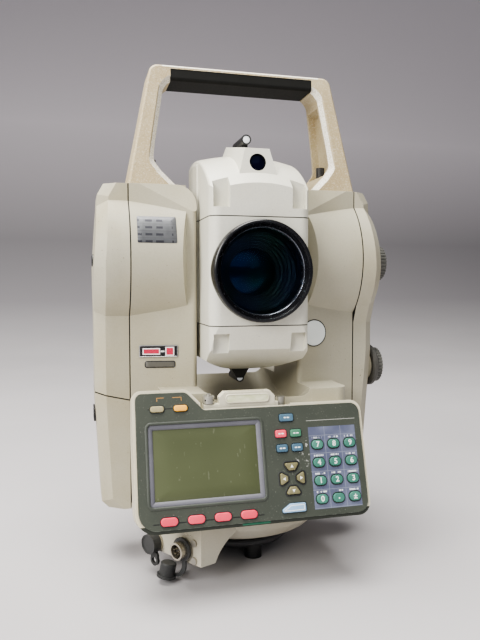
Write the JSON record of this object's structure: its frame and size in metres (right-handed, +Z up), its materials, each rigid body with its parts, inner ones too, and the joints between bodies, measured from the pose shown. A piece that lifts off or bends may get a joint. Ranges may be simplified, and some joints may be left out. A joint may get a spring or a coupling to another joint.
{
  "type": "surveying total station",
  "caption": "Surveying total station with tilting telescope, front keyboard and display, carrying handle and side battery, on a three-lug centring base.",
  "frame": {"origin": "vertical axis of the instrument, in the plane of the lug feet", "axes": "+Z up along the vertical axis, -Y towards the keyboard and objective, +X towards the clamps"},
  "size_m": [0.2161, 0.1788, 0.336],
  "materials": {
    "black_plate": "satin black coating",
    "lug_steel": "ground",
    "bearing_steel": "ground",
    "body_paint": "fine textured off-white paint",
    "cover_paint": "fine textured off-white paint",
    "housing_paint": "fine textured off-white paint",
    "socket_chrome": "plated",
    "cap_rubber": "moulded",
    "screw_steel": "plated",
    "handle_beige": "speckled texture, yellowed",
    "grip_grey": "matt moulded",
    "bezel_paint": "off-white paint",
    "panel_green": "fine texture",
    "display": "liquid crystal window",
    "level_paint": "paint",
    "circuit_board": "board",
    "knob_black": "ribbed",
    "battery_paint": "textured",
    "latch_black": "ribbed",
    "clamp_black": "dark anodised",
    "knob_grey": "anodised, ribbed",
    "telescope_paint": "fine textured off-white paint",
    "telescope_cover_paint": "fine texture",
    "ring_black": "black anodised",
    "lens_glass": "coated",
    "sight_black": "satin",
    "eyepiece_black": "ribbed",
    "key_orange": "matt",
    "key_olive": "matt",
    "key_red": "matt",
    "key_blue": "matt",
    "key_green": "matt",
    "key_number_green": "matt"
  },
  "bodies": {
    "base": {"base_plate": "black_plate", "lug_pins": "lug_steel", "spindle_and_circle": "bearing_steel"},
    "alidade": {"yoke_frame": "body_paint", "side_covers": "cover_paint", "lower_housing": "housing_paint", "sockets": "socket_chrome", "socket_caps": "cap_rubber", "case_screws": "screw_steel", "handle_frame": "handle_beige", "handle_grip": "grip_grey", "panel_housing": "bezel_paint", "panel_face": "panel_green", "display_glass": "display", "plate_level": "level_paint", "main_board": "circuit_board"},
    "telescope": {"telescope_body": "telescope_paint", "telescope_covers": "telescope_cover_paint", "objective_ring": "ring_black", "objective_lens": "lens_glass", "peep_sights": "sight_black", "trunnion_axle_and_circle": "bearing_steel"},
    "battery": {"battery_pack": "battery_paint"},
    "battery_latch": {"battery_latch": "latch_black"},
    "vertical_clamp": {"vertical_clamp_ring": "clamp_black"},
    "vertical_fine": {"vertical_fine_knob": "knob_grey"},
    "horizontal_clamp": {"horizontal_clamp_ring": "clamp_black"},
    "horizontal_fine": {"horizontal_fine_knob": "knob_grey"},
    "focus_ring": {"focus_ring": "knob_black"},
    "focus_lens": {"focus_lens": "lens_glass"},
    "eyepiece": {"eyepiece_ring": "eyepiece_black"},
    "plummet_focus": {"plummet_focus_ring": "knob_black"},
    "key_backlight": {"key_backlight": "key_olive"},
    "key_power": {"key_power": "key_orange"},
    "key_soft_1": {"key_soft_1": "key_red"},
    "key_soft_2": {"key_soft_2": "key_red"},
    "key_soft_3": {"key_soft_3": "key_red"},
    "key_soft_4": {"key_soft_4": "key_red"},
    "key_mode": {"key_mode": "key_blue"},
    "key_function": {"key_function": "key_red"},
    "key_shift": {"key_shift": "key_green"},
    "key_delete": {"key_delete": "key_blue"},
    "key_clear": {"key_clear": "key_blue"},
    "key_up": {"key_up": "key_olive"},
    "key_left": {"key_left": "key_olive"},
    "key_down": {"key_down": "key_olive"},
    "key_right": {"key_right": "key_olive"},
    "key_enter": {"key_enter": "key_blue"},
    "key_7": {"key_7": "key_number_green"},
    "key_8": {"key_8": "key_number_green"},
    "key_9": {"key_9": "key_number_green"},
    "key_4": {"key_4": "key_number_green"},
    "key_5": {"key_5": "key_number_green"},
    "key_6": {"key_6": "key_number_green"},
    "key_1": {"key_1": "key_number_green"},
    "key_2": {"key_2": "key_number_green"},
    "key_3": {"key_3": "key_number_green"},
    "key_0": {"key_0": "key_number_green"},
    "key_point": {"key_point": "key_number_green"},
    "key_sign": {"key_sign": "key_number_green"}
  },
  "joints": [
    {"name": "alidade_turn", "type": "hinge", "parent": "base", "child": "alidade", "pos_m": [0, 0, 0], "axis": [0, 0, 1], "continuous": true},
    {"name": "telescope_tilt", "type": "hinge", "parent": "alidade", "child": "telescope", "pos_m": [0, 0, 0.197], "axis": [1, 0, 0], "continuous": true},
    {"name": "focus_turn", "type": "hinge", "parent": "telescope", "child": "focus_ring", "pos_m": [0, 0.058, 0.197], "axis": [0, 1, 0], "range_deg": [-150, 150]},
    {"name": "focus_lens_travel", "type": "slide", "parent": "telescope", "child": "focus_lens", "axis": [0, 1, 0], "range_m": [-0.008, 0.008]},
    {"name": "eyepiece_turn", "type": "hinge", "parent": "telescope", "child": "eyepiece", "pos_m": [0, 0.07, 0.197], "axis": [0, 1, 0], "range_deg": [-90, 90]},
    {"name": "vertical_clamp_turn", "type": "hinge", "parent": "alidade", "child": "vertical_clamp", "pos_m": [0.1009, 0, 0.2045], "axis": [1, 0, 0], "range_deg": [0, 60]},
    {"name": "vertical_fine_turn", "type": "hinge", "parent": "alidade", "child": "vertical_fine", "pos_m": [0.1009, 0, 0.2045], "axis": [1, 0, 0], "range_deg": [-720, 720]},
    {"name": "horizontal_clamp_turn", "type": "hinge", "parent": "alidade", "child": "horizontal_clamp", "pos_m": [0.1009, 0, 0.127], "axis": [1, 0, 0], "range_deg": [0, 60]},
    {"name": "horizontal_fine_turn", "type": "hinge", "parent": "alidade", "child": "horizontal_fine", "pos_m": [0.1009, 0, 0.127], "axis": [1, 0, 0], "range_deg": [-720, 720]},
    {"name": "plummet_focus_turn", "type": "hinge", "parent": "alidade", "child": "plummet_focus", "pos_m": [0, 0.057, 0.07], "axis": [0, 1, 0], "range_deg": [-120, 120]},
    {"name": "battery_release", "type": "slide", "parent": "alidade", "child": "battery", "axis": [-1, 0, 0], "range_m": [0, 0.06]},
    {"name": "battery_latch_press", "type": "slide", "parent": "battery", "child": "battery_latch", "axis": [0, 0, -1], "range_m": [0, 0.003], "stiffness_N_per_m": 600},
    {"name": "key_backlight_press", "type": "slide", "parent": "alidade", "child": "key_backlight", "axis": [0, 0.9616, -0.2745], "range_m": [0, 0.001], "stiffness_N_per_m": 600},
    {"name": "key_power_press", "type": "slide", "parent": "alidade", "child": "key_power", "axis": [0, 0.9616, -0.2745], "range_m": [0, 0.001], "stiffness_N_per_m": 600},
    {"name": "key_soft_1_press", "type": "slide", "parent": "alidade", "child": "key_soft_1", "axis": [0, 0.9616, -0.2745], "range_m": [0, 0.001], "stiffness_N_per_m": 600},
    {"name": "key_soft_2_press", "type": "slide", "parent": "alidade", "child": "key_soft_2", "axis": [0, 0.9616, -0.2745], "range_m": [0, 0.001], "stiffness_N_per_m": 600},
    {"name": "key_soft_3_press", "type": "slide", "parent": "alidade", "child": "key_soft_3", "axis": [0, 0.9616, -0.2745], "range_m": [0, 0.001], "stiffness_N_per_m": 600},
    {"name": "key_soft_4_press", "type": "slide", "parent": "alidade", "child": "key_soft_4", "axis": [0, 0.9616, -0.2745], "range_m": [0, 0.001], "stiffness_N_per_m": 600},
    {"name": "key_mode_press", "type": "slide", "parent": "alidade", "child": "key_mode", "axis": [0, 0.9616, -0.2745], "range_m": [0, 0.001], "stiffness_N_per_m": 600},
    {"name": "key_function_press", "type": "slide", "parent": "alidade", "child": "key_function", "axis": [0, 0.9616, -0.2745], "range_m": [0, 0.001], "stiffness_N_per_m": 600},
    {"name": "key_shift_press", "type": "slide", "parent": "alidade", "child": "key_shift", "axis": [0, 0.9616, -0.2745], "range_m": [0, 0.001], "stiffness_N_per_m": 600},
    {"name": "key_delete_press", "type": "slide", "parent": "alidade", "child": "key_delete", "axis": [0, 0.9616, -0.2745], "range_m": [0, 0.001], "stiffness_N_per_m": 600},
    {"name": "key_clear_press", "type": "slide", "parent": "alidade", "child": "key_clear", "axis": [0, 0.9616, -0.2745], "range_m": [0, 0.001], "stiffness_N_per_m": 600},
    {"name": "key_up_press", "type": "slide", "parent": "alidade", "child": "key_up", "axis": [0, 0.9616, -0.2745], "range_m": [0, 0.001], "stiffness_N_per_m": 600},
    {"name": "key_left_press", "type": "slide", "parent": "alidade", "child": "key_left", "axis": [0, 0.9616, -0.2745], "range_m": [0, 0.001], "stiffness_N_per_m": 600},
    {"name": "key_down_press", "type": "slide", "parent": "alidade", "child": "key_down", "axis": [0, 0.9616, -0.2745], "range_m": [0, 0.001], "stiffness_N_per_m": 600},
    {"name": "key_right_press", "type": "slide", "parent": "alidade", "child": "key_right", "axis": [0, 0.9616, -0.2745], "range_m": [0, 0.001], "stiffness_N_per_m": 600},
    {"name": "key_enter_press", "type": "slide", "parent": "alidade", "child": "key_enter", "axis": [0, 0.9616, -0.2745], "range_m": [0, 0.001], "stiffness_N_per_m": 600},
    {"name": "key_7_press", "type": "slide", "parent": "alidade", "child": "key_7", "axis": [0, 0.9616, -0.2745], "range_m": [0, 0.001], "stiffness_N_per_m": 600},
    {"name": "key_8_press", "type": "slide", "parent": "alidade", "child": "key_8", "axis": [0, 0.9616, -0.2745], "range_m": [0, 0.001], "stiffness_N_per_m": 600},
    {"name": "key_9_press", "type": "slide", "parent": "alidade", "child": "key_9", "axis": [0, 0.9616, -0.2745], "range_m": [0, 0.001], "stiffness_N_per_m": 600},
    {"name": "key_4_press", "type": "slide", "parent": "alidade", "child": "key_4", "axis": [0, 0.9616, -0.2745], "range_m": [0, 0.001], "stiffness_N_per_m": 600},
    {"name": "key_5_press", "type": "slide", "parent": "alidade", "child": "key_5", "axis": [0, 0.9616, -0.2745], "range_m": [0, 0.001], "stiffness_N_per_m": 600},
    {"name": "key_6_press", "type": "slide", "parent": "alidade", "child": "key_6", "axis": [0, 0.9616, -0.2745], "range_m": [0, 0.001], "stiffness_N_per_m": 600},
    {"name": "key_1_press", "type": "slide", "parent": "alidade", "child": "key_1", "axis": [0, 0.9616, -0.2745], "range_m": [0, 0.001], "stiffness_N_per_m": 600},
    {"name": "key_2_press", "type": "slide", "parent": "alidade", "child": "key_2", "axis": [0, 0.9616, -0.2745], "range_m": [0, 0.001], "stiffness_N_per_m": 600},
    {"name": "key_3_press", "type": "slide", "parent": "alidade", "child": "key_3", "axis": [0, 0.9616, -0.2745], "range_m": [0, 0.001], "stiffness_N_per_m": 600},
    {"name": "key_0_press", "type": "slide", "parent": "alidade", "child": "key_0", "axis": [0, 0.9616, -0.2745], "range_m": [0, 0.001], "stiffness_N_per_m": 600},
    {"name": "key_point_press", "type": "slide", "parent": "alidade", "child": "key_point", "axis": [0, 0.9616, -0.2745], "range_m": [0, 0.001], "stiffness_N_per_m": 600},
    {"name": "key_sign_press", "type": "slide", "parent": "alidade", "child": "key_sign", "axis": [0, 0.9616, -0.2745], "range_m": [0, 0.001], "stiffness_N_per_m": 600}
  ],
  "couplings": [
    {"joint": "focus_lens_travel", "follows": "focus_turn", "m_per_rad": 0.003}
  ]
}
